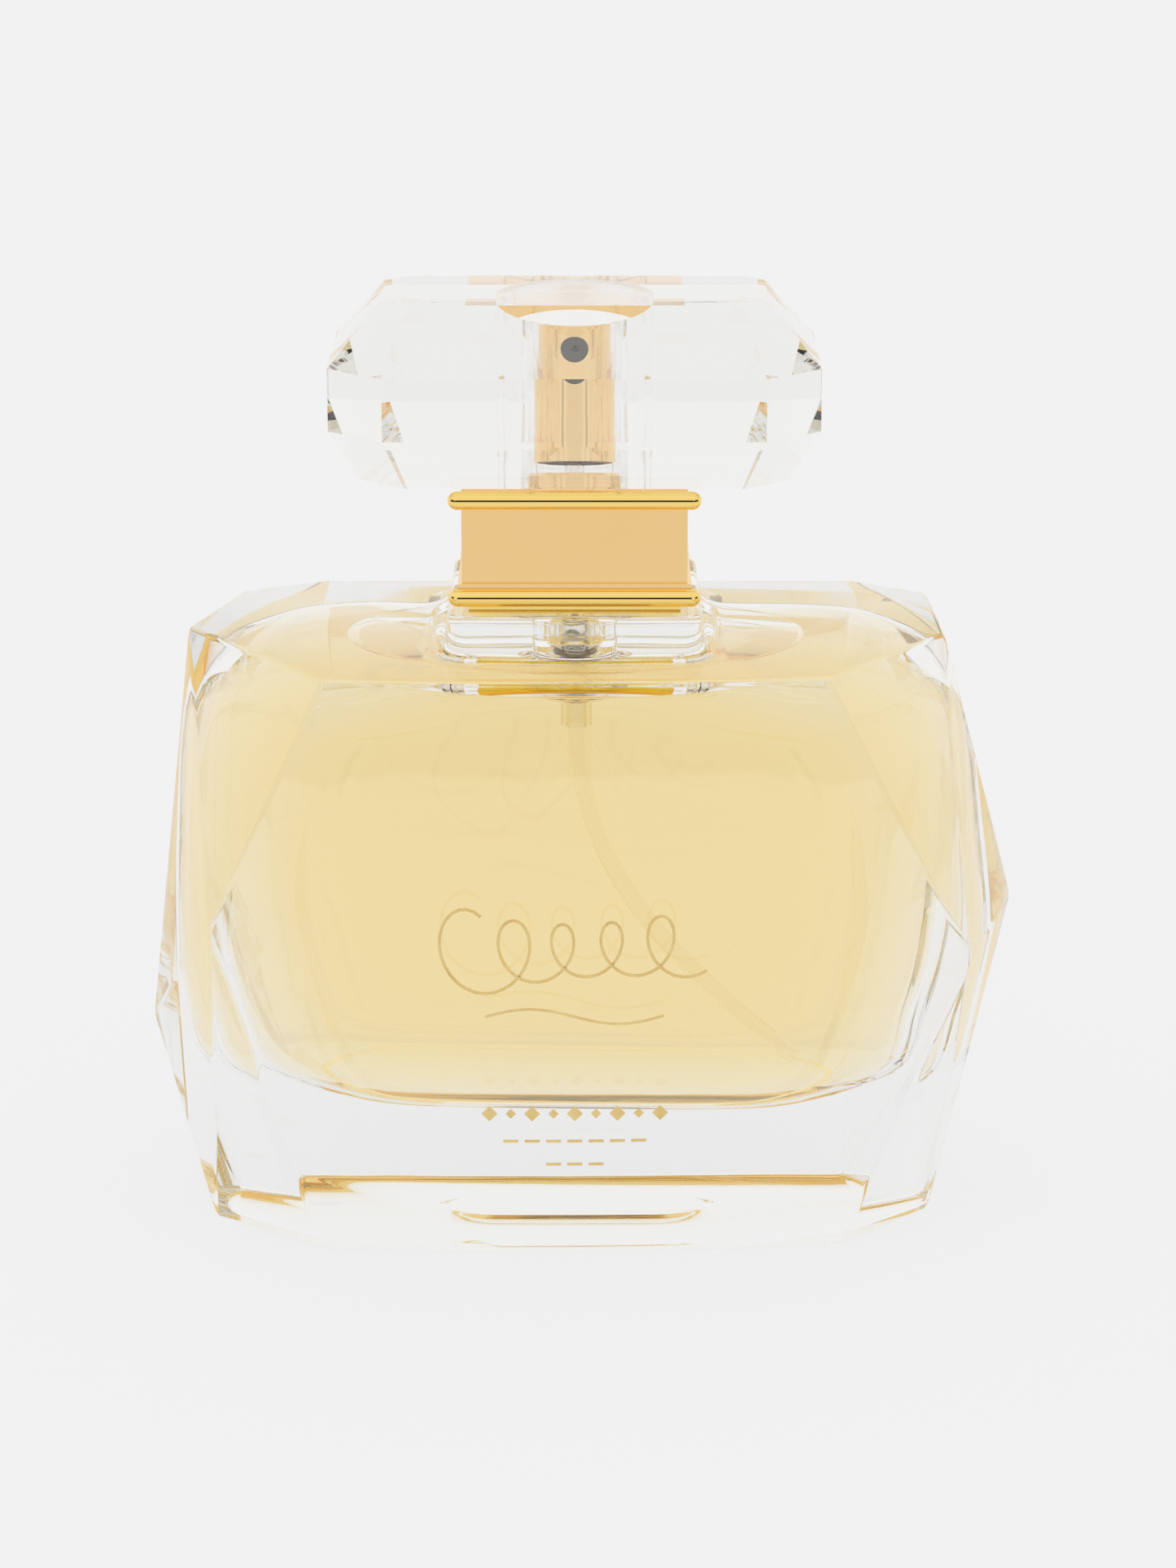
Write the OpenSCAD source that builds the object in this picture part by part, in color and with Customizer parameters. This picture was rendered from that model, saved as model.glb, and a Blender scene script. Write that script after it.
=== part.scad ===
// Faceted glass perfume bottle with a square gilt collar, a crimped spray pump and a clear lift-off cap.
// Millimetres, +Z up. The origin is the centre of the base, and the front face looks along -Y.

/* [Glass body] */
// Height of the flat shoulder above the surface it stands on
body_h = 67.5; // [64:0.5:72]
// Width between the two side points of the crystal
body_w = 100; // [96:0.5:104]
// Depth from the front face to the back face
body_d = 42; // [40:0.5:44]
// Clear glass under the hollow
base_t = 15.5; // [12:0.5:18]
// How far the front face bows out over its width
front_bow = 1.6; // [1:0.1:2.2]
// Height of the perfume's surface
fill_h = 64; // [50:0.5:64.5]
// Depth of the recess under the base
punt_t = 0.8; // [0.5:0.1:1.2]

/* [Shoulder block and neck] */
// Side of the square glass block under the collar
block_w = 28.2; // [27:0.1:29]
// Height of the square glass block
block_h = 4.8; // [4:0.1:5.5]
// Diameter of the neck below its ring
neck_d = 13.4; // [13:0.1:13.8]
// Diameter of the ring that the pump is crimped over
finish_d = 15; // [14.8:0.1:15.2]
// Bore of the neck
bore_d = 9.8; // [9.6:0.1:10.2]

/* [Collar] */
// Side of the square collar
collar_w = 25; // [24:0.1:26]
// Height of the collar between its two rolls
collar_h = 9; // [8.4:0.1:9.6]
// Thickness of each rolled edge
roll_t = 2.05; // [1.8:0.05:2.2]
// Length of the rolled edges across the front
roll_w = 28; // [27.5:0.1:28.4]

/* [Pump] */
// Full travel of the spray head
stroke = 3.5; // [2.5:0.1:3.5]
// Diameter of the hollow stem
stem_d = 3.2; // [2.8:0.1:3.4]
// Outer diameter of the dip tube
tube_d = 1.9; // [1.7:0.1:2.1]
// Diameter of the steel check ball
ball_d = 2; // [1.8:0.1:2.2]
// Wire of the return spring
wire_d = 0.5; // [0.4:0.05:0.6]

/* [Spray head] */
// Diameter of the gilt spray head
head_d = 13.6; // [13.2:0.1:13.8]
// Height of the spray head
head_h = 12.2; // [11.6:0.1:12.3]
// Diameter of the nozzle insert
insert_d = 3.4; // [3:0.1:3.8]

/* [Cap] */
// Width of the cap
cap_w = 54.4; // [52:0.2:57]
// Depth of the cap
cap_d = 30.8; // [29.6:0.2:32]
// Height of the upright band around the cap
band_h = 7; // [6:0.2:8]
// Height of the upper bevel
top_bevel = 6.8; // [6:0.1:7]
// Height of the lower bevel
low_bevel = 6; // [5.6:0.1:6.4]
// Bore of the cap
cap_bore = 17.7; // [17.6:0.1:18]

/* [Foil] */
// Width of the foil flourish
flourish_w = 32; // [26:1:34]
// Thickness of the foil
foil_t = 0.12; // [0.1:0.01:0.2]

/* [Hidden] */
$fn = 64;

sx = body_w / 100;
sy = body_d / 42;
sz = body_h / 67.5;

// front face: bows about an upright axis and turns a little to the right
bow_r = 28 * 28 / (2 * front_bow);
function front_y(x) = (-21.4 - front_bow + 0.02 * x + x * x / (2 * bow_r)) * sy;
function on_front(x, z) = [x * sx, front_y(x), z * sz];
bow_x = [-21, -14, -7, 0, 7, 14, 21];

// corners of the crystal, clockwise from the front left
top_pts = concat([on_front(-27.6, 67.5), on_front(27.8, 67.5)],
    [for (p = [[42, -2.8], [41.1, 15.5], [33, 21], [-29.6, 21], [-39, 16.3], [-44.1, 0]])
        [p[0] * sx, p[1] * sy, body_h]]);
low_pts = concat([on_front(-28.7, 0), on_front(30.4, 0)],
    [for (p = [[40.9, -10.5], [40, 11], [29, 19], [-30, 19], [-40, 10], [-41.6, -12.5]])
        [p[0] * sx, p[1] * sy, 0]]);
girdle_pts = concat([on_front(-41, 37.9), on_front(44.7, 33.7)],
    [for (p = [[-49.4, 0, 20.5], [50.6, 0, 35.4], [-43, 16.5, 33], [43.5, 16.5, 30], [-5, 22.6, 41]])
        [p[0] * sx, p[1] * sy, p[2] * sz]]);
bow_pts = concat([for (x = bow_x) on_front(x, 0)], [for (x = bow_x) on_front(x, 67.5)]);

// hollow: rounded ends of the inside wall as [x, y, z, radius]
hollow_balls = [[-22.5, -8, 8.5, 8.5], [23.5, -8, 8.5, 8.5], [-22.5, 8, 8.5, 8.5], [23.5, 8, 8.5, 8.5],
    [-29.4, -1, 8.5, 8.5], [29.4, -1, 8.5, 8.5], [-31.4, -0.5, 19, 9], [31.4, -0.5, 19, 9],
    [-32.8, 0, 32, 9], [33, 0, 32, 9], [-32.8, 0, 38, 9], [33, 0, 38, 9],
    [-27, -7, 32, 9], [27.6, -7, 32, 9], [-27, 6.5, 32, 9], [27.6, 6.5, 32, 9],
    [-27.6, -6, 38, 9], [28, -6, 38, 9], [-27.4, 6, 38, 9], [27.8, 6, 38, 9],
    [0, -9.7, 8.5, 8.5], [0, 8.5, 8.5, 8.5], [0, -9.7, 34, 9], [0, 8, 34, 9]];
// dome of the hollow as [half width, half depth, height below the shoulder]
hollow_dome = [[33, 16.6, 4.4], [26.4, 16, 3.2], [18.5, 13, 2], [8, 6, 1.45]];

// heights
z_block = body_h + block_h;
z_plate = z_block + 1.05;
z_roll = z_plate + roll_t;
z_wall = z_roll + collar_h;
z_collar = z_wall + roll_t;
z_finish = z_block + 8.6;
z_gasket = z_finish + 0.6;
z_flange = z_gasket + 1;
z_ferrule = z_flange + 0.8;
z_hole = z_wall + 0.6;
z_head = z_collar + stroke + 0.45;
z_head_top = z_head + head_h;
z_nozzle = z_head_top - 3.2;
z_cap = z_collar + 0.1;
z_band = z_cap + low_bevel;
z_band_top = z_band + band_h;
z_cap_top = z_band_top + top_bevel;
z_bore_top = z_head_top + 1.1;
z_seat = body_h - 6;
z_piston = z_seat + 13.6;
foot_r = 3;
ring_out = 15.6;
ring_in = 14.2;
piston_bore = 5.6;
turret_d = 7.9;

module ring(d_out, d_in, z0, z1) {
    translate([0, 0, z0]) difference() {
        cylinder(d = d_out, h = z1 - z0);
        translate([0, 0, -1]) cylinder(d = d_in, h = z1 - z0 + 2);
    }
}

module block(w, d, z0, z1) {
    translate([-w / 2, -d / 2, z0]) cube([w, d, z1 - z0]);
}

module crystal() {
    pts = concat(top_pts, low_pts, girdle_pts, bow_pts);
    hull() polyhedron(points = pts, faces = [[for (i = [0 : len(pts) - 1]) i]]);
}

module hollow(gap) {
    hull() {
        for (b = hollow_balls) translate([b[0] * sx, b[1] * sy, base_t + b[2]])
            sphere(r = b[3] - gap, $fn = 24);
        for (e = hollow_dome) translate([0, 0, body_h - e[2] - gap - 0.02])
            scale([(e[0] - gap) * sx, (e[1] - gap) * sy, 1]) cylinder(r = 1, h = 0.02, $fn = 36);
    }
}

// tube swept along a route: inner and outer wall in one skin
function unit(v) = v / norm(v);
function side_of(t) = unit(cross(t, [0, 1, 0]));
function ring_pts(c, t, r, n) = let(u = side_of(t), w = cross(t, u))
    [for (k = [0 : n - 1]) c + r * (cos(360 * k / n) * u + sin(360 * k / n) * w)];
function bend(a, b, c, d, t) = pow(1 - t, 3) * a + 3 * pow(1 - t, 2) * t * b
    + 3 * (1 - t) * t * t * c + pow(t, 3) * d;

module swept_tube(route, r_out, r_in, n) {
    m = len(route);
    tan = [for (i = [0 : m - 1]) unit(route[min(i + 1, m - 1)] - route[max(i - 1, 0)])];
    pts = concat([for (i = [0 : m - 1]) each ring_pts(route[i], tan[i], r_out, n)],
        [for (i = [0 : m - 1]) each ring_pts(route[i], tan[i], r_in, n)]);
    o = m * n;
    faces = concat(
        [for (i = [0 : m - 2], k = [0 : n - 1]) [i * n + k, i * n + (k + 1) % n,
            (i + 1) * n + (k + 1) % n, (i + 1) * n + k]],
        [for (i = [0 : m - 2], k = [0 : n - 1]) [o + i * n + (k + 1) % n, o + i * n + k,
            o + (i + 1) * n + k, o + (i + 1) * n + (k + 1) % n]],
        [for (k = [0 : n - 1]) [(k + 1) % n, k, o + k, o + (k + 1) % n]],
        [for (k = [0 : n - 1]) [(m - 1) * n + k, (m - 1) * n + (k + 1) % n,
            o + (m - 1) * n + (k + 1) % n, o + (m - 1) * n + k]]);
    polyhedron(points = pts, faces = faces, convexity = 4);
}

module swept_rod(route, r, n) {
    m = len(route);
    tan = [for (i = [0 : m - 1]) unit(route[min(i + 1, m - 1)] - route[max(i - 1, 0)])];
    pts = [for (i = [0 : m - 1]) each ring_pts(route[i], tan[i], r, n)];
    faces = concat(
        [for (i = [0 : m - 2], k = [0 : n - 1]) [i * n + k, i * n + (k + 1) % n,
            (i + 1) * n + (k + 1) % n, (i + 1) * n + k]],
        [[for (k = [n - 1 : -1 : 0]) k]],
        [[for (k = [0 : n - 1]) (m - 1) * n + k]]);
    polyhedron(points = pts, faces = faces, convexity = 4);
}

// dip tube: drops from the pump, then sweeps to the low right corner of the hollow
tube_top = [0, 0, z_seat - 3];
tube_end = [25 * sx, 0, base_t + 2.2];
tube_route = concat([tube_top + [0, 0, 2.6]],
    [for (i = [0 : 20]) bend(tube_top, [0, 0, 42], [7, 0, 32], tube_end, i / 20)]);

// looping flourish: a rolling curve whose loops swell and fade
function swell(t) = 0.6 + 0.85 * pow(1 - t, 3) + 0.4 * t * t;
function curl(t) = let(a = 360 * (0.4 + 4.7 * t))
    [(flourish_w - 6) * (t - 0.5) + 3 * swell(t) * sin(a), 36.4 - 3.9 * swell(t) * cos(a) + 1.2 * (t - 0.5)];
// the falling half of each loop lies over the rising half
function over(t) = 0.5 - 0.5 * max(-1, min(1, 2.6 * sin(360 * (0.4 + 4.7 * t))));
function tail(t) = [(flourish_w - 12) * (t - 0.5), 28.6 + 0.9 * sin(360 * t)];

module foil_stroke(line, lift, w) {
    m = len(line);
    tan = [for (i = [0 : m - 1]) unit(line[min(i + 1, m - 1)] - line[max(i - 1, 0)])];
    pts = [for (i = [0 : m - 1]) let(nrm = [-tan[i][1], tan[i][0]] * w / 2)
        each [for (q = [[1, 0], [1, 1], [-1, 1], [-1, 0]]) let(x = line[i][0] + q[0] * nrm[0])
            [x, front_y(x / sx) - 0.01 - lift[i] - foil_t * q[1], line[i][1] + q[0] * nrm[1]]]];
    faces = concat(
        [for (i = [0 : m - 2], k = [0 : 3]) [i * 4 + (k + 1) % 4, i * 4 + k,
            (i + 1) * 4 + k, (i + 1) * 4 + (k + 1) % 4]],
        [[0, 1, 2, 3]], [[(m - 1) * 4 + 3, (m - 1) * 4 + 2, (m - 1) * 4 + 1, (m - 1) * 4]]);
    polyhedron(points = pts, faces = faces, convexity = 6);
}

module foil_bar(x, z, w, h) {
    turn = atan((front_y(x + 1) - front_y(x - 1)) / 2);
    translate([x, front_y(x / sx), z]) rotate([0, 0, turn])
        translate([-w / 2, -foil_t - 0.03, -h / 2]) cube([w, foil_t, h]);
}

module foil_lozenge(x, z, s) {
    translate([x, front_y(x / sx), z]) rotate([0, 0, atan(x / bow_r)]) rotate([0, 45, 0])
        translate([-s / 2, -foil_t - 0.03, -s / 2]) cube([s, foil_t, s]);
}

// side view of the square glass block, which flows out of the shoulder in a hollow curve
module shoulder_profile() {
    half = block_w / 2;
    flank = concat([[half + foot_r, -1], [half + foot_r, 0.04]],
        [for (a = [10 : 10 : 80]) [half + foot_r * (1 - sin(a)), foot_r * (1 - cos(a))]],
        [[half, foot_r], [half, block_h - 0.4], [half - 0.4, block_h]]);
    polygon(concat(flank, [for (i = [len(flank) - 1 : -1 : 0]) [-flank[i][0], flank[i][1]]]));
}

// the same profile run along X and along Y
module shoulder_block() {
    run = block_w + 2 * foot_r + 2;
    translate([0, 0, body_h]) intersection() {
        translate([0, run / 2, 0]) rotate([90, 0, 0]) linear_extrude(run) shoulder_profile();
        translate([-run / 2, 0, 0]) rotate([90, 0, 90]) linear_extrude(run) shoulder_profile();
    }
}

module glass_bottle() {
    color("lightcyan", 0.45) difference() {
        union() {
            crystal();
            shoulder_block();
            translate([0, 0, body_h]) cylinder(d = neck_d, h = z_finish - body_h);
            translate([0, 0, z_finish - 4.2]) cylinder(d = finish_d, h = 4.2);
        }
        hollow(0);
        translate([0, 0, body_h - 4]) cylinder(d = bore_d, h = z_finish - body_h + 5);
        translate([0, 0, -1]) {
            translate([-9, -8, 0]) cube([18, 16, punt_t + 1]);
            for (s = [-1, 1]) translate([9 * s, 0, 0]) cylinder(r = 8, h = punt_t + 1);
        }
    }
}

module perfume() {
    color("khaki", 0.8) difference() {
        intersection() {
            hollow(0.08);
            translate([-60, -40, 0]) cube([120, 80, fill_h]);
        }
        translate([0, 0, z_seat - 4.6]) cylinder(d = 3.6, h = 5);
        translate([0, 0, z_seat - 0.8]) cylinder(d = 9, h = 30);
        swept_rod(concat(tube_route, [tube_end + [0.25, 0, -0.06]]), tube_d / 2 + 0.2, 8);
    }
}

module base_label() {
    color("white") translate([0, 0, punt_t - 0.12]) {
        translate([-6, -5, 0]) cube([12, 10, 0.1]);
        for (s = [-1, 1]) translate([6 * s, 0, 0]) cylinder(r = 5, h = 0.1);
    }
}

module front_flourish() {
    color("goldenrod") {
        foil_stroke([for (i = [0 : 120]) curl(i / 120)],
            [for (i = [0 : 120]) (foil_t + 0.03) * over(i / 120)], 0.32);
        foil_stroke([for (i = [0 : 16]) tail(i / 16)], [for (i = [0 : 16]) 0], 0.26);
    }
}

module front_bands() {
    color("goldenrod") {
        for (i = [-4 : 4]) foil_lozenge(i * 2.4, 17, i % 2 == 0 ? 1.25 : 0.8);
        for (i = [-3 : 3]) foil_bar(i * 2.4, 13.7, 1.7, 0.3);
        for (i = [-1 : 1]) foil_bar(i * 2.4, 10.9, 1.7, 0.3);
    }
}

module dip_tube() {
    color("whitesmoke", 0.8) swept_tube(tube_route, tube_d / 2, tube_d / 2 - 0.3, 10);
}

module neck_gasket() {
    color("white") ring(finish_d - 0.4, bore_d, z_finish, z_gasket);
}

module pump_housing() {
    cup = turret_d / 2 + 0.02;
    color("whitesmoke") rotate_extrude($fn = 96) polygon([
        [tube_d / 2 + 0.03, z_seat - 4.4], [1.7, z_seat - 4.4], [1.7, z_seat - 0.6], [2.6, z_seat - 0.6],
        [4.3, z_seat + 0.6], [4.3, z_piston + 1.6], [bore_d / 2 - 0.1, z_piston + 2.1],
        [bore_d / 2 - 0.1, z_gasket], [7.2, z_gasket], [7.2, z_flange], [cup, z_flange],
        [cup, z_piston + 3.2], [3.4, z_piston + 3.2], [3.4, z_piston + 2.2],
        [piston_bore / 2, z_piston + 2.2], [piston_bore / 2, z_seat + 3.4], [1.7, z_seat + 3.4],
        [1.7, z_seat + 0.9], [0.7, z_seat - 0.1], [0.7, z_seat - 0.4], [tube_d / 2 + 0.03, z_seat - 0.4]]);
}

module check_ball() {
    color("silver") translate([0, 0, z_seat + 0.32 + ball_d / 2]) sphere(d = ball_d, $fn = 48);
}

spring_lo = z_seat + 3.4 + wire_d / 2;
spring_hi = z_piston - wire_d / 2;
spring_turns = 7;

module return_spring() {
    m = 14 * spring_turns;
    n = 6;
    pts = [for (i = [0 : m])
        let(a = 360 * spring_turns * i / m, z = spring_lo + (spring_hi - spring_lo) * i / m)
        each [for (k = [0 : n - 1]) let(r = 2.1 + wire_d / 2 * cos(360 * k / n))
            [r * cos(a), r * sin(a), z + wire_d / 2 * sin(360 * k / n)]]];
    faces = concat(
        [for (i = [0 : m - 1], k = [0 : n - 1]) [i * n + k, (i + 1) * n + k, (i + 1) * n + (k + 1) % n]],
        [for (i = [0 : m - 1], k = [0 : n - 1]) [i * n + k, (i + 1) * n + (k + 1) % n, i * n + (k + 1) % n]],
        [[for (k = [0 : n - 1]) k]],
        [[for (k = [n - 1 : -1 : 0]) m * n + k]]);
    color("silver") polyhedron(points = pts, faces = faces, convexity = 8);
}

module pump_piston() {
    color("gainsboro") ring(piston_bore - 0.08, 1.4, z_piston, z_piston + 2);
}

module pump_stem() {
    color("white") difference() {
        union() {
            translate([0, 0, z_piston + 2]) cylinder(d = stem_d, h = z_head + 4.6 - z_piston - 2);
            translate([0, 0, z_piston + 2]) cylinder(d = 4.6, h = 1);
        }
        translate([0, 0, z_piston + 1]) cylinder(d = 1.4, h = 30);
    }
}

module stem_seal() {
    color("dimgray") ring(turret_d, stem_d + 0.08, z_piston + 3.2, z_piston + 4);
}

module pump_turret() {
    color("whitesmoke") difference() {
        translate([0, 0, z_piston + 4]) cylinder(d = turret_d, h = z_collar + 0.5 - z_piston - 4);
        translate([0, 0, z_piston + 3]) cylinder(d = stem_d + 0.08, h = 30);
    }
}

module crimp_ferrule() {
    color("gold") union() {
        ring(16.1, finish_d + 0.06, z_finish - 4.2, z_flange);
        ring(16.1, neck_d + 0.4, z_finish - 5, z_finish - 4.2);
        ring(16.1, turret_d + 0.2, z_flange, z_ferrule);
    }
}

module collar_base_plate() {
    color("gold") difference() {
        block(23.6, 23.6, z_block, z_plate);
        translate([0, 0, z_block - 1]) cylinder(d = finish_d + 0.4, h = 4);
    }
}

module collar_liner() {
    color("whitesmoke") difference() {
        block(collar_w - 2.5, collar_w - 2.5, z_plate, z_ferrule);
        translate([0, 0, z_plate - 1]) cylinder(d = 16.3, h = 20);
        for (a = [0, 90]) rotate([0, 0, a]) block(4, 40, z_roll + 1, z_roll + 6);
    }
}

// rolled edge: a rod with ball ends along the front of the collar
module rolled_edge(z) {
    r = roll_t / 2;
    e = roll_w / 2 - r;
    translate([0, -e, z + r]) {
        rotate([0, 90, 0]) cylinder(r = r, h = 2 * e, center = true, $fn = 48);
        for (s = [-1, 1]) translate([s * e, 0, 0]) sphere(r = r, $fn = 40);
    }
}

module collar_block() {
    color("gold") difference() {
        union() {
            block(collar_w, collar_w, z_plate, z_collar);
            block(collar_w + 0.9, collar_w + 0.9, z_roll - 0.1, z_roll + 0.5);
            rolled_edge(z_plate);
            rolled_edge(z_wall);
        }
        block(collar_w - 2.4, collar_w - 2.4, z_plate - 1, z_hole);
        translate([0, 0, z_hole - 1]) cylinder(d = ring_out + 0.06, h = 6);
    }
}

module neck_ring() {
    color("gold") union() {
        rotate_extrude() polygon([[ring_in / 2, z_ferrule], [8.4, z_ferrule], [8.4, z_hole],
            [ring_out / 2, z_hole], [ring_out / 2, z_collar + 2], [ring_out / 2 - 0.3, z_collar + 2.4],
            [ring_in / 2, z_collar + 2.4]]);
    }
}

module actuator_core() {
    r = head_d / 2 - 0.5;
    color("gold") difference() {
        translate([0, 0, z_head + 0.3]) cylinder(r = r, h = head_h - 0.8);
        translate([0, 0, z_head - 1]) cylinder(d = 9.8, h = 2.8);
        translate([0, 0, z_head]) cylinder(d = stem_d, h = 4.6);
        translate([0, 0, z_head + 4]) cylinder(d = 1.4, h = z_nozzle - z_head - 4);
        translate([0, 0, z_nozzle]) rotate([90, 0, 0]) cylinder(d = 1.4, h = 6, $fn = 32);
        translate([0, -r - 0.5 + 2.6, z_nozzle]) rotate([90, 0, 0])
            cylinder(d = insert_d, h = 6, $fn = 48);
    }
}

module actuator_shell() {
    r = head_d / 2;
    color("gold") difference() {
        rotate_extrude() polygon([[r - 0.5, z_head], [r, z_head], [r, z_head_top - 0.7],
            [r - 0.25, z_head_top - 0.2], [r - 0.8, z_head_top], [r - 1.6, z_head_top - 0.1],
            [0, z_head_top - 0.1], [0, z_head_top - 0.5], [r - 0.5, z_head_top - 0.5]]);
        translate([0, -r + 2.6, z_nozzle]) rotate([90, 0, 0]) cylinder(d = insert_d, h = 6, $fn = 48);
    }
}

module nozzle_insert() {
    r = head_d / 2;
    color("dimgray") translate([0, -r + 2.55, z_nozzle]) rotate([90, 0, 0]) difference() {
        cylinder(d = insert_d - 0.04, h = 2.35, $fn = 48);
        translate([0, 0, -1]) cylinder(d = 1.6, h = 2.4, $fn = 32);
        translate([0, 0, -1]) cylinder(d = 0.4, h = 5, $fn = 24);
        translate([0, 0, 2.05]) cylinder(d = 0.9, h = 1, $fn = 32);
    }
}

// one level of the cap: an octagon with its corner cut parallel at every height
module cap_level(x, y, cut_x, cut_y, z) {
    translate([0, 0, z - 0.005]) linear_extrude(0.01)
        polygon([[x, -cut_y], [x, cut_y], [cut_x, y], [-cut_x, y],
            [-x, cut_y], [-x, -cut_y], [-cut_x, -y], [cut_x, -y]]);
}

module cap_body() {
    hx = cap_w / 2;
    hy = cap_d / 2;
    color("lightcyan", 0.4) difference() {
        hull() {
            cap_level(hx - 3.4, hy - 3.2, hx - 8.4, hy - 7.5, z_cap + 0.005);
            cap_level(hx, hy, hx - 6.2, hy - 5.3, z_band);
            cap_level(hx, hy, hx - 6.2, hy - 5.3, z_band_top);
            cap_level(hx - 5.8, hy - 6.7, hx - 8.6, hy - 9.1, z_cap_top - 0.005);
        }
        translate([0, 0, z_cap - 1]) cylinder(d = cap_bore, h = z_bore_top - z_cap + 1);
    }
}

module cap_sleeve() {
    color("white", 0.5) difference() {
        translate([0, 0, z_cap + 0.3]) cylinder(d = cap_bore - 0.04, h = z_bore_top - z_cap - 0.32);
        translate([0, 0, z_cap]) cylinder(d = ring_out + 0.12, h = z_bore_top - z_cap - 0.6);
        translate([0, 0, z_cap + 0.9]) cylinder(d = ring_out + 0.7, h = 0.9);
    }
}

module cap_grip_ring() {
    color("white", 0.6) ring(ring_out + 0.66, ring_out + 0.08, z_cap + 0.95, z_cap + 1.75);
}

glass_bottle();
perfume();
base_label();
front_flourish();
front_bands();
dip_tube();
neck_gasket();
pump_housing();
check_ball();
return_spring();
pump_piston();
pump_stem();
stem_seal();
pump_turret();
crimp_ferrule();
collar_base_plate();
collar_liner();
collar_block();
neck_ring();
actuator_core();
actuator_shell();
nozzle_insert();
cap_body();
cap_sleeve();
cap_grip_ring();
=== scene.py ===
import math

import bmesh
import bpy
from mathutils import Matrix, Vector


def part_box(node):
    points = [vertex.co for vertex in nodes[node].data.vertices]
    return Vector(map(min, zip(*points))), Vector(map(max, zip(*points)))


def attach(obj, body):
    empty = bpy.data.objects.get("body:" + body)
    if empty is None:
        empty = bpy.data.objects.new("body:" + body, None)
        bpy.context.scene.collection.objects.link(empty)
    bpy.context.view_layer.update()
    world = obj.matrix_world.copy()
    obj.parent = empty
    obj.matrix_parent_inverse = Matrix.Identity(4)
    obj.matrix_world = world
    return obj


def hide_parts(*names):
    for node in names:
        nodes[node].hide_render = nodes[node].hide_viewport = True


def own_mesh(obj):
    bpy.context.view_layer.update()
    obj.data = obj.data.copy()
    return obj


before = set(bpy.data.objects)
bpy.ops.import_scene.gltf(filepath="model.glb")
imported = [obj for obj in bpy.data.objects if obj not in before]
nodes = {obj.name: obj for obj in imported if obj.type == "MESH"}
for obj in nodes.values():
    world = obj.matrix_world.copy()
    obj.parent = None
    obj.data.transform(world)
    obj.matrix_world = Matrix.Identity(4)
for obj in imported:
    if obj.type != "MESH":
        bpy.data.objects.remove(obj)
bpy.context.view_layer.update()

MM = 0.001
scene = bpy.context.scene

# ---------------------------------------------------------------- sizes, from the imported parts
glass_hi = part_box("glass_bottle")[1]
plate_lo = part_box("collar_base_plate")[0]
liquid_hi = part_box("perfume")[1]
collar_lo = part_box("collar_block")[0]
ball_lo, ball_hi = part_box("check_ball")
BLOCK_H = 4.8 * MM
SHOULDER = plate_lo.z - BLOCK_H
BLOCK_HALF = 14.1 * MM
NECK_TOP = glass_hi.z - 0.03 * MM
FILL = liquid_hi.z


# ---------------------------------------------------------------- mesh helpers
def new_object(name, mesh):
    ob = bpy.data.objects.new(name, mesh)
    scene.collection.objects.link(ob)
    return ob


def from_bmesh(name, bm):
    me = bpy.data.meshes.new(name)
    bmesh.ops.recalc_face_normals(bm, faces=bm.faces)
    bm.to_mesh(me)
    bm.free()
    return new_object(name, me)


def shade(ob, angle=30.0):
    """Smooth shading that keeps every edge sharper than the angle."""
    bm = bmesh.new()
    bm.from_mesh(ob.data)
    limit = math.radians(angle)
    for f in bm.faces:
        f.smooth = True
    for e in bm.edges:
        e.smooth = not (len(e.link_faces) == 2 and e.calc_face_angle(0) > limit)
    bm.to_mesh(ob.data)
    bm.free()


def hull_mesh(points):
    bm = bmesh.new()
    for p in points:
        bm.verts.new(p)
    got = bmesh.ops.convex_hull(bm, input=bm.verts)
    loose = [v for v in bm.verts if not v.link_faces]
    bmesh.ops.delete(bm, geom=loose, context="VERTS")
    bmesh.ops.dissolve_limit(bm, angle_limit=math.radians(0.4), verts=bm.verts, edges=bm.edges)
    return bm


def bevel_edges(bm, width, low, segments=3):
    """Rounds every edge whose faces turn by more than low degrees."""
    limit = math.radians(low)
    picked = [e for e in bm.edges if len(e.link_faces) == 2 and e.calc_face_angle(0) > limit]
    bmesh.ops.bevel(bm, geom=picked, offset=width, offset_type="OFFSET", segments=segments,
                    profile=0.5, affect="EDGES", clamp_overlap=True)


def rings_to_mesh(name, rings):
    """Closed skin over a stack of rings that all have the same number of points."""
    bm = bmesh.new()
    rows = [[bm.verts.new(p) for p in ring] for ring in rings]
    n = len(rings[0])
    for a, b in zip(rows, rows[1:]):
        for k in range(n):
            bm.faces.new((a[k], a[(k + 1) % n], b[(k + 1) % n], b[k]))
    bm.faces.new(list(reversed(rows[0])))
    bm.faces.new(rows[-1])
    return from_bmesh(name, bm)


def lathe(name, profile, n=128):
    """Closed solid of revolution from (radius, height) pairs that start and end on the axis or meet."""
    closed = profile[0][0] > 0
    turns = [2 * math.pi * k / n for k in range(n)]
    rings = [[(r * math.cos(a), r * math.sin(a), z) for a in turns] for r, z in profile if r > 1e-9]
    bm = bmesh.new()
    rows = [[bm.verts.new(p) for p in ring] for ring in rings]
    pairs = list(zip(rows, rows[1:]))
    if closed:
        pairs.append((rows[-1], rows[0]))
    for a, b in pairs:
        for k in range(n):
            bm.faces.new((a[k], a[(k + 1) % n], b[(k + 1) % n], b[k]))
    if not closed:
        for row, z in ((rows[0], profile[0][1]), (rows[-1], profile[-1][1])):
            c = bm.verts.new((0, 0, z))
            for k in range(n):
                bm.faces.new((row[k], row[(k + 1) % n], c))
    return from_bmesh(name, bm)


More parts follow.
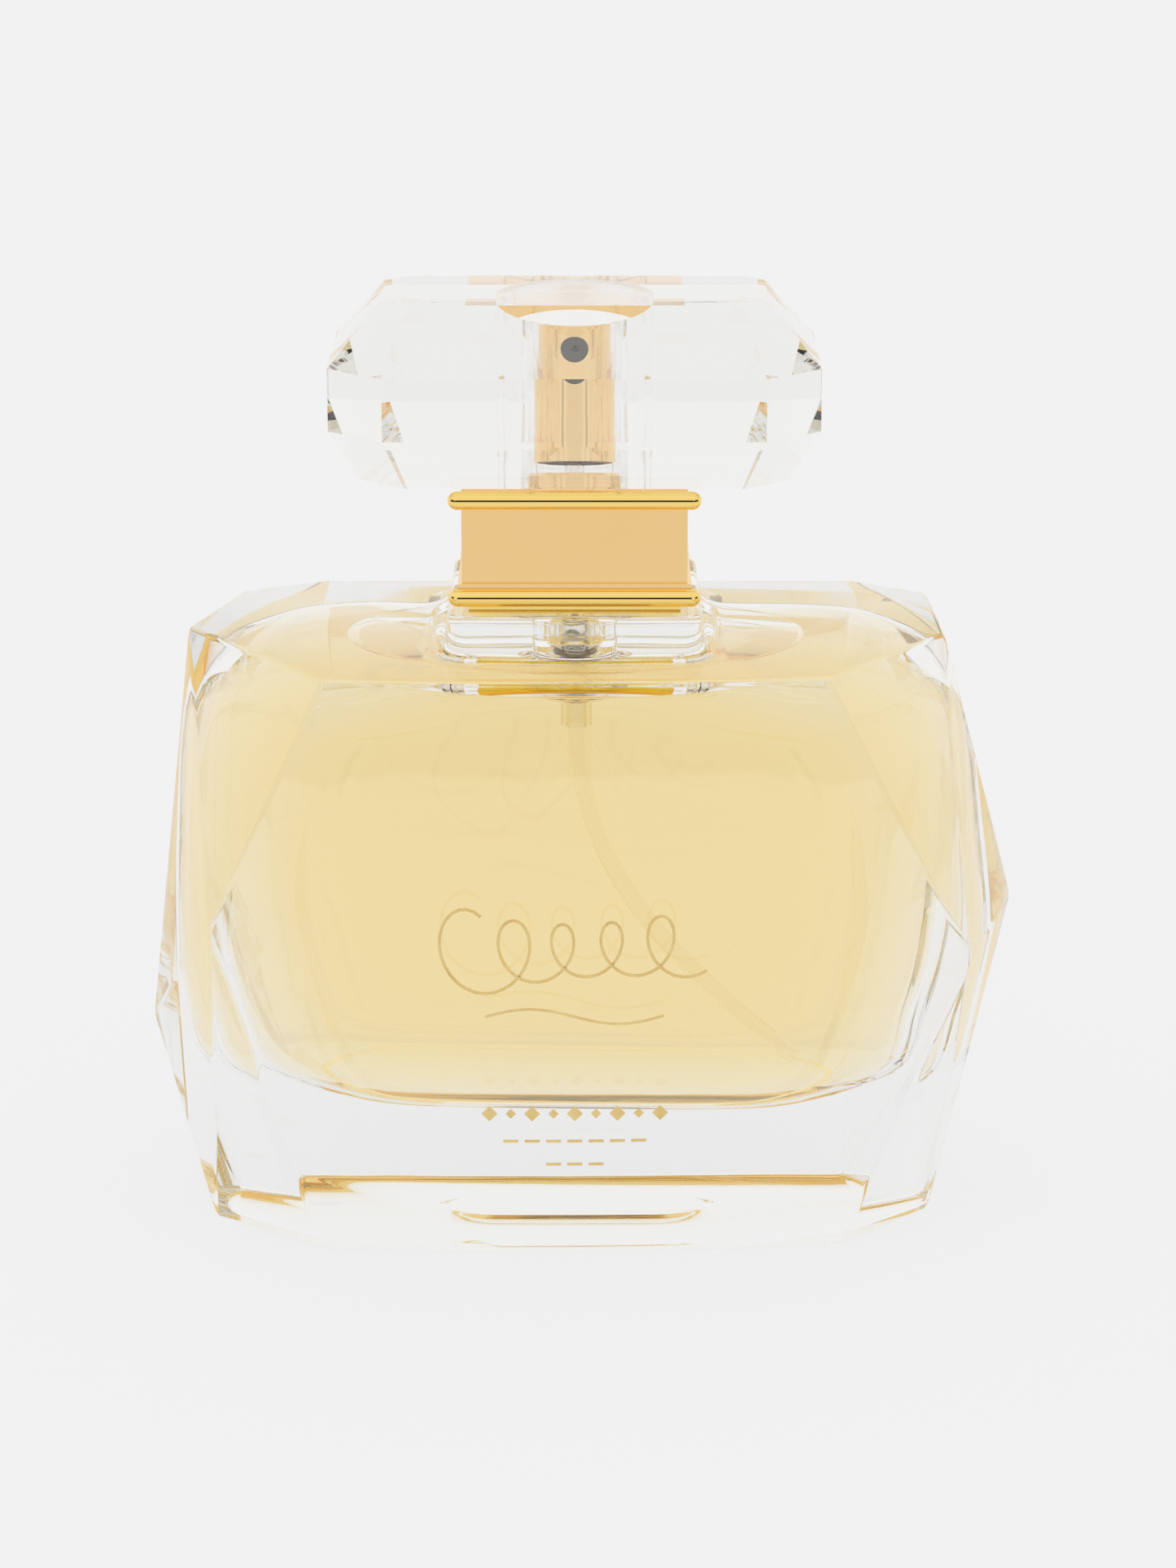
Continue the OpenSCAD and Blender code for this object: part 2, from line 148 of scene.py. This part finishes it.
def boolean(target, tool, operation):
    mod = target.modifiers.new("cut", "BOOLEAN")
    mod.operation = operation
    mod.solver = "EXACT"
    mod.object = tool
    dg = bpy.context.evaluated_depsgraph_get()
    me = bpy.data.meshes.new_from_object(target.evaluated_get(dg))
    target.modifiers.clear()
    old = target.data
    target.data = me
    bpy.data.meshes.remove(old)
    bpy.data.objects.remove(tool)


# ---------------------------------------------------------------- the crystal
BOW = 28 * 28 / (2 * 1.6)


def front_y(x):
    return -23.0 + 0.02 * x + x * x / (2 * BOW)


def on_front(x, z):
    return Vector((x, front_y(x), z)) * MM


def crystal():
    bow = [-24, -20, -16, -12, -8, -4, 0, 4, 8, 12, 16, 20, 24]
    pts = [on_front(-27.6, 67.5), on_front(27.8, 67.5), on_front(-28.7, 0), on_front(30.4, 0),
           on_front(-41, 37.9), on_front(44.7, 33.7)]
    pts += [on_front(x, 0) for x in bow] + [on_front(x, 67.5) for x in bow]
    pts += [Vector((x, y, 67.5)) * MM for x, y in
            ((42, -2.8), (41.1, 15.5), (33, 21), (-29.6, 21), (-39, 16.3), (-44.1, 0))]
    pts += [Vector((x, y, 0)) * MM for x, y in
            ((40.9, -10.5), (40, 11), (29, 19), (-30, 19), (-40, 10), (-41.6, -12.5))]
    pts += [Vector(p) * MM for p in
            ((-49.4, 0, 20.5), (50.6, 0, 35.4), (-43, 16.5, 33), (43.5, 16.5, 30), (-5, 22.6, 41))]
    bm = hull_mesh(pts)
    bevel_edges(bm, 0.55 * MM, 9.0, 3)
    return from_bmesh("crystal", bm)


def rounded_square(half, r, z, per=10):
    out = []
    for cx, cy, a0 in ((1, 1, 0), (-1, 1, 90), (-1, -1, 180), (1, -1, 270)):
        for i in range(per + 1):
            a = math.radians(a0 + 90 * i / per)
            out.append((cx * (half - r) + r * math.cos(a), cy * (half - r) + r * math.sin(a), z))
    return out


def shoulder_block():
    """The square glass block under the collar, flowing out of the shoulder."""
    steps = [(-2.0, 3.1), (0.0, 3.1)]
    for i in range(1, 13):
        a = math.radians(7.5 * i)
        steps.append((3.0 * (1 - math.cos(a)), 3.1 * (1 - math.sin(a))))
    steps += [(3.9, 0.0), (4.25, -0.06), (4.5, -0.2), (4.65, -0.42), (4.74, -0.7), (4.76, -1.1)]
    rings = [rounded_square(BLOCK_HALF + g * MM, (2.0 + 0.8 * g) * MM, SHOULDER + dz * MM)
             for dz, g in steps]
    return rings_to_mesh("shoulder_block", rings)


# the hollow: each row is a height, then how far the wall is from the middle towards the front, the front
# right, the right and so on round, in mm
FLOOR = 15.5
ROOF = 66.1
HOLLOW = (
    (15.5, 12, 22, 28, 22, 11, 22, 28, 22),
    (15.7, 14.8, 25.4, 32, 25.4, 13.4, 25.2, 31.6, 25),
    (16.4, 16.7, 28, 35, 28, 15, 27.8, 34.6, 27.4),
    (17.6, 17.7, 29.8, 37, 29.8, 16, 29.6, 36.6, 29.2),
    (19.5, 18.2, 31, 38.2, 31, 16.5, 30.6, 37.8, 30.2),
    (23, 18.5, 32, 39.2, 32, 16.8, 31.6, 38.8, 31.2),
    (29, 18.7, 33.2, 40.4, 33.4, 17.2, 33, 40, 32.6),
    (37, 18.8, 34.2, 41.6, 34.6, 17.5, 34.2, 41.2, 33.6),
    (46, 18.9, 34.4, 42.2, 35.2, 17.6, 35, 42, 34),
    (53, 18.8, 33.6, 42, 35, 17.4, 34.8, 42, 33.2),
    (57.5, 18.6, 32, 40.4, 34, 17.1, 33.6, 40.6, 32),
    (60, 18.4, 30.6, 37.6, 32.4, 16.8, 32, 37.8, 30.6),
    (62, 18.2, 28.4, 33.6, 29.4, 16.5, 29.2, 33.8, 28.4),
    (63.3, 17.8, 25.8, 29.8, 26, 16.1, 26, 29.8, 25.8),
    (64.3, 17.0, 22.6, 25.8, 22.6, 15.3, 22.6, 25.8, 22.6),
    (65.2, 15, 18.4, 20.6, 18.4, 13.6, 18.4, 20.6, 18.4),
    (65.8, 11.6, 13.8, 15, 13.8, 10.8, 13.8, 15, 13.8),
    (66.1, 6, 7, 7, 7, 6, 7, 7, 7),
)


def smooth_row(z):
    """One row of the hollow's table at any height, on a smooth curve through the rows."""
    rows = HOLLOW
    i = 0
    while i < len(rows) - 2 and z > rows[i + 1][0]:
        i += 1
    z0, z1 = rows[i][0], rows[i + 1][0]
    t = min(1.0, max(0.0, (z - z0) / (z1 - z0)))
    h = z1 - z0
    t2, t3 = t * t, t * t * t
    out = []
    for c in range(1, 9):
        p1, p2 = rows[i][c], rows[i + 1][c]
        m1 = (p2 - rows[i - 1][c]) / (z1 - rows[i - 1][0]) if i > 0 else (p2 - p1) / h
        m2 = (rows[i + 2][c] - p1) / (rows[i + 2][0] - z0) if i + 2 < len(rows) else (p2 - p1) / h
        out.append((2 * t3 - 3 * t2 + 1) * p1 + (t3 - 2 * t2 + t) * h * m1
                   + (3 * t2 - 2 * t3) * p2 + (t3 - t2) * h * m2)
    return out


def wave(x, y, z):
    """The slow unevenness of a blown inside wall, in mm."""
    return (0.07 * math.sin(0.31 * z + 0.11 * x) + 0.05 * math.sin(0.42 * z - 0.2 * y + 1.3)
            + 0.05 * math.sin(0.17 * x + 0.3 * y + 0.21 * z + 0.6))


def hollow_ring(z, grow, n=192):
    """The hollow's outline at height z: eight walls blended into each other by wide rounded corners."""
    walls = smooth_row(z)
    edge = min(1.0, max(0.0, (z - 16.5) / 6)) * min(1.0, max(0.0, (62 - z) / 6))
    dome = min(1.0, max(0.0, (z - 59) / 5))
    dome = dome * dome * (3 - 2 * dome)
    low = min(1.0, max(0.0, (24 - z) / 6))
    ring = []
    for k in range(n):
        a = 2 * math.pi * k / n
        total = 0.0
        for i, w in enumerate(walls):
            c = math.cos(a - math.radians(-90 + 45 * i))
            if c > 0:
                total += (c / (w + grow)) ** 12
        r = total ** (-1 / 12)
        across = (walls[2] if math.cos(a) > 0 else walls[6]) + grow
        deep = (walls[4] if math.sin(a) > 0 else walls[0]) + grow
        oval = 1 / math.hypot(math.cos(a) / across, math.sin(a) / deep)
        r += dome * (oval - r)
        x, y = r * math.cos(a), r * math.sin(a)
        r += edge * wave(x, y, z)
        x, y = r * math.cos(a), r * math.sin(a)
        ring.append((x * MM, y * MM, (z - 0.014 * low * x) * MM))
    return ring


def heights(lo, hi):
    zs = []
    z = lo
    while z < hi - 1e-6:
        zs.append(z)
        near = min(z - FLOOR, ROOF - z)
        z += 0.12 if near < 1.2 else (0.3 if near < 4 else (0.6 if near < 8 else 1.1))
    zs.append(hi)
    return zs


def hollow_mesh():
    return rings_to_mesh("hollow", [hollow_ring(z, 0.0) for z in heights(FLOOR, ROOF)])


def bottle():
    body = crystal()
    boolean(body, shoulder_block(), "UNION")
    foot = SHOULDER - 0.5 * MM
    neck = lathe("neck", [(0, foot), (6.7 * MM, foot), (6.7 * MM, NECK_TOP - 4.4 * MM),
                          (7.3 * MM, NECK_TOP - 4.2 * MM), (7.5 * MM, NECK_TOP - 4.0 * MM),
                          (7.5 * MM, NECK_TOP - 0.4 * MM), (7.1 * MM, NECK_TOP), (0, NECK_TOP)])
    boolean(body, neck, "UNION")
    boolean(body, hollow_mesh(), "DIFFERENCE")
    low, high, r = SHOULDER - 4 * MM, NECK_TOP + 1 * MM, 4.9 * MM
    bore = lathe("bore", [(0, low), (r, low), (r, high), (0, high)])
    boolean(body, bore, "DIFFERENCE")
    punt = []
    for z, grow in ((-1.0, 0.3), (0.0, 0.3), (0.06, -0.1), (0.2, -0.8), (0.4, -1.6), (0.6, -2.2),
                    (0.74, -2.4), (0.8, -2.7)):
        r = (8 + grow) * MM
        ring = []
        for k in range(64):
            t = 2 * math.pi * (k + 0.5) / 64
            ring.append((math.copysign(9 * MM, math.cos(t)) + r * math.cos(t), r * math.sin(t), z * MM))
        punt.append(ring)
    boolean(body, rings_to_mesh("punt", punt), "DIFFERENCE")
    shade(body, 28)
    body.name = "bottle_glass"
    return body


def liquid():
    fill = FILL / MM
    rings = [hollow_ring(z, 0.06) for z in heights(FLOOR - 0.05, fill + 0.3)]
    # the surface: climbs a little where it wets the wall
    for inset, lift in ((0.12, 0.22), (0.35, 0.13), (0.7, 0.06), (1.2, 0.02), (2.0, 0.0)):
        rings.append([(x, y, (fill + lift) * MM) for x, y, z in hollow_ring(fill + 0.3, -inset)])
    ob = rings_to_mesh("perfume_liquid", rings)
    # the valve's chamber, where the ball lifts, holds air
    r = ball_hi.x + 0.15 * MM
    low = ball_lo.z - 0.15 * MM
    chamber = lathe("ball_room", [(0, low), (r, low), (r, FILL + 1 * MM), (0, FILL + 1 * MM)])
    boolean(ob, chamber, "DIFFERENCE")
    shade(ob, 60)
    return ob


# ---------------------------------------------------------------- materials
def material(name):
    m = bpy.data.materials.new(name)
    m.use_nodes = True
    nt = m.node_tree
    for n in list(nt.nodes):
        nt.nodes.remove(n)
    out = nt.nodes.new("ShaderNodeOutputMaterial")
    p = nt.nodes.new("ShaderNodeBsdfPrincipled")
    nt.links.new(p.outputs["BSDF"], out.inputs["Surface"])
    return m, nt, p, out


def noise(nt, scale, detail=3.0, rough=0.5, vector=None):
    n = nt.nodes.new("ShaderNodeTexNoise")
    n.inputs["Scale"].default_value = scale
    n.inputs["Detail"].default_value = detail
    n.inputs["Roughness"].default_value = rough
    if vector is not None:
        nt.links.new(vector, n.inputs["Vector"])
    return n


def coords(nt):
    return nt.nodes.new("ShaderNodeTexCoord").outputs["Object"]


def to_range(nt, value, lo, hi, a=0.0, b=1.0):
    r = nt.nodes.new("ShaderNodeMapRange")
    r.inputs["From Min"].default_value = a
    r.inputs["From Max"].default_value = b
    r.inputs["To Min"].default_value = lo
    r.inputs["To Max"].default_value = hi
    nt.links.new(value, r.inputs["Value"])
    return r.outputs["Result"]


def bump(nt, height, strength, distance):
    b = nt.nodes.new("ShaderNodeBump")
    b.inputs["Strength"].default_value = strength
    b.inputs["Distance"].default_value = distance
    nt.links.new(height, b.inputs["Height"])
    return b.outputs["Normal"]


def clear_material(name, ior, color, rough, bump_scale, bump_depth, absorb=None):
    m, nt, p, out = material(name)
    p.inputs["Base Color"].default_value = (*color, 1)
    p.inputs["Transmission Weight"].default_value = 1.0
    p.inputs["IOR"].default_value = ior
    p.inputs["Roughness"].default_value = rough
    if bump_depth:
        n = noise(nt, bump_scale, 1.0, 0.4, coords(nt))
        nt.links.new(bump(nt, n.outputs["Fac"], 1.0, bump_depth), p.inputs["Normal"])
    if absorb:
        v = nt.nodes.new("ShaderNodeVolumeAbsorption")
        v.inputs["Color"].default_value = (*absorb[0], 1)
        v.inputs["Density"].default_value = absorb[1]
        nt.links.new(v.outputs["Volume"], out.inputs["Volume"])
    return m


def metal_material(name, color, deep, rough, scale=60.0):
    m, nt, p, out = material(name)
    c = coords(nt)
    n = noise(nt, scale, 4.0, 0.55, c)
    mix = nt.nodes.new("ShaderNodeMix")
    mix.data_type = "RGBA"
    mix.inputs["A"].default_value = (*color, 1)
    mix.inputs["B"].default_value = (*deep, 1)
    nt.links.new(to_range(nt, n.outputs["Fac"], 0, 1, 0.35, 0.75), mix.inputs["Factor"])
    nt.links.new(mix.outputs["Result"], p.inputs["Base Color"])
    p.inputs["Metallic"].default_value = 1.0
    fine = noise(nt, 900.0, 2.0, 0.5, c)
    nt.links.new(to_range(nt, fine.outputs["Fac"], rough * 0.8, rough * 1.3, 0.3, 0.7), p.inputs["Roughness"])
    return m


def plastic_material(name, color, deep, rough, scale=220.0, depth=0.00002):
    m, nt, p, out = material(name)
    c = coords(nt)
    n = noise(nt, scale, 3.0, 0.5, c)
    mix = nt.nodes.new("ShaderNodeMix")
    mix.data_type = "RGBA"
    mix.inputs["A"].default_value = (*color, 1)
    mix.inputs["B"].default_value = (*deep, 1)
    nt.links.new(to_range(nt, n.outputs["Fac"], 0, 1, 0.3, 0.7), mix.inputs["Factor"])
    nt.links.new(mix.outputs["Result"], p.inputs["Base Color"])
    p.inputs["Roughness"].default_value = rough
    p.inputs["IOR"].default_value = 1.46
    grain = noise(nt, scale * 4, 2.0, 0.5, c)
    nt.links.new(bump(nt, grain.outputs["Fac"], 0.4, depth), p.inputs["Normal"])
    return m


GLASS = clear_material("clear_bottle_glass", 1.5, (0.995, 0.998, 0.997), 0.0, 90.0, 0.00003,
                       absorb=((0.5, 0.5, 0.46), 2.4))
LIQUID = clear_material("pale_yellow_perfume", 1.36, (1.0, 1.0, 1.0), 0.0, 20.0, 0.0,
                        absorb=((0.996, 0.775, 0.02), 25.0))
ACRYLIC = clear_material("clear_acrylic", 1.49, (0.998, 0.998, 0.998), 0.0, 70.0, 0.00002,
                         absorb=((0.5, 0.46, 0.3), 3.2))
SLEEVE = clear_material("clear_liner_plastic", 1.49, (0.99, 0.99, 0.99), 0.02, 160.0, 0.00002)
TUBE = clear_material("dip_tube_plastic", 1.08, (0.99, 0.98, 0.96), 0.08, 300.0, 0.00001)
GOLD = metal_material("gilt_metal", (1.0, 0.70, 0.33), (1.0, 0.68, 0.30), 0.035)
GOLD_POLISHED = metal_material("gilt_polished", (1.0, 0.75, 0.41), (1.0, 0.73, 0.38), 0.03)
# the rod gold is a deeper yellow than the block's gold: a painted reflection standing in for gold-on-gold
# bounces on the rods' undersides
GOLD_ROD_PAINTED_REFLECTION = metal_material("gilt_rod_painted_reflection", (1.0, 0.74, 0.25), (1.0, 0.72, 0.22), 0.03)
# the underside gold is a greener, deeper yellow than the plate's other faces: a painted reflection colour for
# the plate's downward faces
GOLD_UNDER_PAINTED_REFLECTION = metal_material("gilt_underside_painted_reflection", (0.97, 0.83, 0.16), (0.95, 0.80, 0.13), 0.05)
FOIL = metal_material("gold_foil", (0.86, 0.66, 0.30), (0.74, 0.53, 0.20), 0.22, 400.0)
STEEL = metal_material("bright_steel", (0.72, 0.72, 0.73), (0.62, 0.62, 0.64), 0.2)
WHITE = plastic_material("white_plastic", (0.93, 0.92, 0.89), (0.90, 0.89, 0.86), 0.35)
GREY = plastic_material("grey_insert_plastic", (0.30, 0.27, 0.25), (0.24, 0.22, 0.205), 0.35, 500.0)
NATURAL = clear_material("natural_plastic", 1.3, (0.97, 0.96, 0.93), 0.1, 220.0, 0.00001)
RUBBER = plastic_material("dark_rubber", (0.03, 0.03, 0.03), (0.045, 0.045, 0.045), 0.55)
LABEL = plastic_material("label_paper", (0.88, 0.88, 0.86), (0.84, 0.84, 0.82), 0.5, 700.0, 0.00001)


def dress(ob, mat):
    ob.data.materials.clear()
    ob.data.materials.append(mat)


# ---------------------------------------------------------------- pieces
bottle_ob = bottle()
dress(bottle_ob, GLASS)
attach(bottle_ob, "bottle")
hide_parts("glass_bottle")

liquid_ob = liquid()
dress(liquid_ob, LIQUID)
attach(liquid_ob, "bottle")
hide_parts("perfume")

FINISHES = (
    (LABEL, ("base_label",)),
    (FOIL, ("front_flourish", "front_bands")),
    (TUBE, ("dip_tube",)),
    (NATURAL, ("neck_gasket", "pump_housing", "pump_piston", "pump_stem", "pump_turret")),
    (STEEL, ("check_ball", "return_spring")),
    (RUBBER, ("stem_seal",)),
    (GOLD, ("crimp_ferrule", "collar_block")),
    # the base plate takes the rods' deeper yellow gold, a painted reflection colour
    (GOLD_ROD_PAINTED_REFLECTION, ("collar_base_plate",)),
    (GOLD_POLISHED, ("neck_ring", "actuator_shell")),
    (WHITE, ("collar_liner", "actuator_core")),
    (GREY, ("nozzle_insert",)),
    (ACRYLIC, ("cap_body",)),
    (SLEEVE, ("cap_sleeve", "cap_grip_ring")),
)
for mat, names in FINISHES:
    for name in names:
        dress(nodes[name], mat)

# the underside of the base plate, seen through the glass, gets a greener, deeper yellow gold: a painted
# reflection, so its image in the glass and perfume below reads deep yellow
plate = nodes["collar_base_plate"]
plate.data.materials.append(GOLD_UNDER_PAINTED_REFLECTION)
for f in plate.data.polygons:
    if f.normal.z < -0.9:
        f.material_index = 1

# the rolled rods stand in front of the block's face and get the deeper yellow rod gold, a painted reflection
# of the saturated gold-on-gold bounces under them
collar = nodes["collar_block"]
collar.data.materials.append(GOLD_ROD_PAINTED_REFLECTION)
rod_back = collar_lo.y + 1.4 * MM
ledge = collar_lo.y + 1.05 * MM
for f in collar.data.polygons:
    on_ledge = abs(f.center.y - ledge) < 0.02 * MM and f.normal.y < -0.999
    if f.center.y < rod_back and not on_ledge:
        f.material_index = 1

for name, width in (("collar_block", 0.18), ("collar_base_plate", 0.12), ("cap_body", 0.3)):
    mod = nodes[name].modifiers.new("soft_edges", "BEVEL")
    mod.width = width * MM
    mod.segments = 3
    mod.limit_method = "ANGLE"
    mod.angle_limit = math.radians(25)
    mod.harden_normals = False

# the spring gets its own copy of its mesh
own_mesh(nodes["return_spring"])

# ---------------------------------------------------------------- floor, light, camera
bm = bmesh.new()
for x, y in ((-6, -0.28), (6, -0.28), (6, 8), (-6, 8)):
    bm.verts.new((x, y, 0))
bm.faces.new(bm.verts)
floor = from_bmesh("floor", bm)
m, nt, p, out = material("pale_floor")
n = noise(nt, 3.0, 2.0, 0.5, coords(nt))
mix = nt.nodes.new("ShaderNodeMix")
mix.data_type = "RGBA"
mix.inputs["A"].default_value = (0.08, 0.08, 0.08, 1)
mix.inputs["B"].default_value = (0.085, 0.085, 0.084, 1)
nt.links.new(n.outputs["Fac"], mix.inputs["Factor"])
nt.links.new(mix.outputs["Result"], p.inputs["Base Color"])
p.inputs["Roughness"].default_value = 0.95
p.inputs["Specular IOR Level"].default_value = 0.0
p.inputs["Emission Color"].default_value = (1, 1, 1, 1)
p.inputs["Emission Strength"].default_value = 0.81
dress(floor, m)
floor.location.z = -0.00002

world = bpy.data.worlds.new("studio")
scene.world = world
world.use_nodes = True
wt = world.node_tree
for n in list(wt.nodes):
    wt.nodes.remove(n)
wout = wt.nodes.new("ShaderNodeOutputWorld")
bg = wt.nodes.new("ShaderNodeBackground")
bg.inputs["Strength"].default_value = 1.0
wt.links.new(bg.outputs["Background"], wout.inputs["Surface"])
tc = wt.nodes.new("ShaderNodeTexCoord")
sep = wt.nodes.new("ShaderNodeSeparateXYZ")
wt.links.new(tc.outputs["Generated"], sep.inputs["Vector"])


def wmath(op, a, b=None, clamp=False):
    n = wt.nodes.new("ShaderNodeMath")
    n.operation = op
    n.use_clamp = clamp
    for i, v in enumerate((a, b)):
        if v is None:
            continue
        if isinstance(v, (int, float)):
            n.inputs[i].default_value = v
        else:
            wt.links.new(v, n.inputs[i])
    return n.outputs[0]


def wrange(value, a, b, lo, hi):
    r = wt.nodes.new("ShaderNodeMapRange")
    r.interpolation_type = "SMOOTHSTEP"
    for k, v in zip(("From Min", "From Max", "To Min", "To Max"), (a, b, lo, hi)):
        r.inputs[k].default_value = v
    wt.links.new(value, r.inputs["Value"])
    return r.outputs["Result"]


def band(value, centre, half, soft):
    """1 inside centre +- half, falling to 0 over soft."""
    far = wmath("ABSOLUTE", wmath("SUBTRACT", value, centre))
    return wrange(far, half, half + soft, 1.0, 0.0)


# a white cove all round; mirrors and glass also show the dimmer camera side, with two upright gaps, and the
# metal outside the glass shows one level gap; east is the angle away from the camera side, up is the height
toward = wmath("MULTIPLY", sep.outputs["Y"], -1.0)
east = wmath("ABSOLUTE", wmath("ARCTAN2", sep.outputs["X"], toward))
up = wmath("ARCSINE", sep.outputs["Z"])
middle = wmath("MULTIPLY", wrange(east, 0.42, 0.46, 0.12, 0.0), wrange(up, 0.35, 0.45, 1.0, 0.0))
upright = wmath("MULTIPLY", band(east, 0.66, 0.05, 0.03), wrange(up, 0.35, 0.45, 0.42, 0.0))
level_gap = wmath("MULTIPLY", band(up, 0.057, 0.172, 0.012), wrange(east, 1.3, 1.5, 0.97, 0.0))
ray = wt.nodes.new("ShaderNodeLightPath")
outside = wmath("LESS_THAN", ray.outputs["Transmission Depth"], 0.5)
level_gap = wmath("MULTIPLY", level_gap, outside)
gaps = wmath("MAXIMUM", wmath("MAXIMUM", middle, upright), level_gap)
gaps = wmath("MULTIPLY", gaps, ray.outputs["Is Glossy Ray"])
level = wmath("MULTIPLY", 0.92, wmath("SUBTRACT", 1.0, gaps))
wt.links.new(level, bg.inputs["Color"])

cam_data = bpy.data.cameras.new("camera")
cam = bpy.data.objects.new("camera", cam_data)
scene.collection.objects.link(cam)
scene.camera = cam
cam_data.sensor_fit = "VERTICAL"
cam_data.sensor_height = 36.0
cam_data.lens = 102.75
cam_data.clip_start = 0.01
cam_data.clip_end = 30.0
cam.location = (1.49 * MM, -492.9 * MM, 202.2 * MM)
cam.rotation_euler = (math.radians(90 - 17.3), 0, 0)

scene.view_settings.view_transform = "Standard"
scene.view_settings.look = "None"
scene.cycles.max_bounces = 40
scene.cycles.transmission_bounces = 40
scene.cycles.glossy_bounces = 24
scene.cycles.diffuse_bounces = 4
scene.cycles.transparent_max_bounces = 16
scene.cycles.use_denoising = True
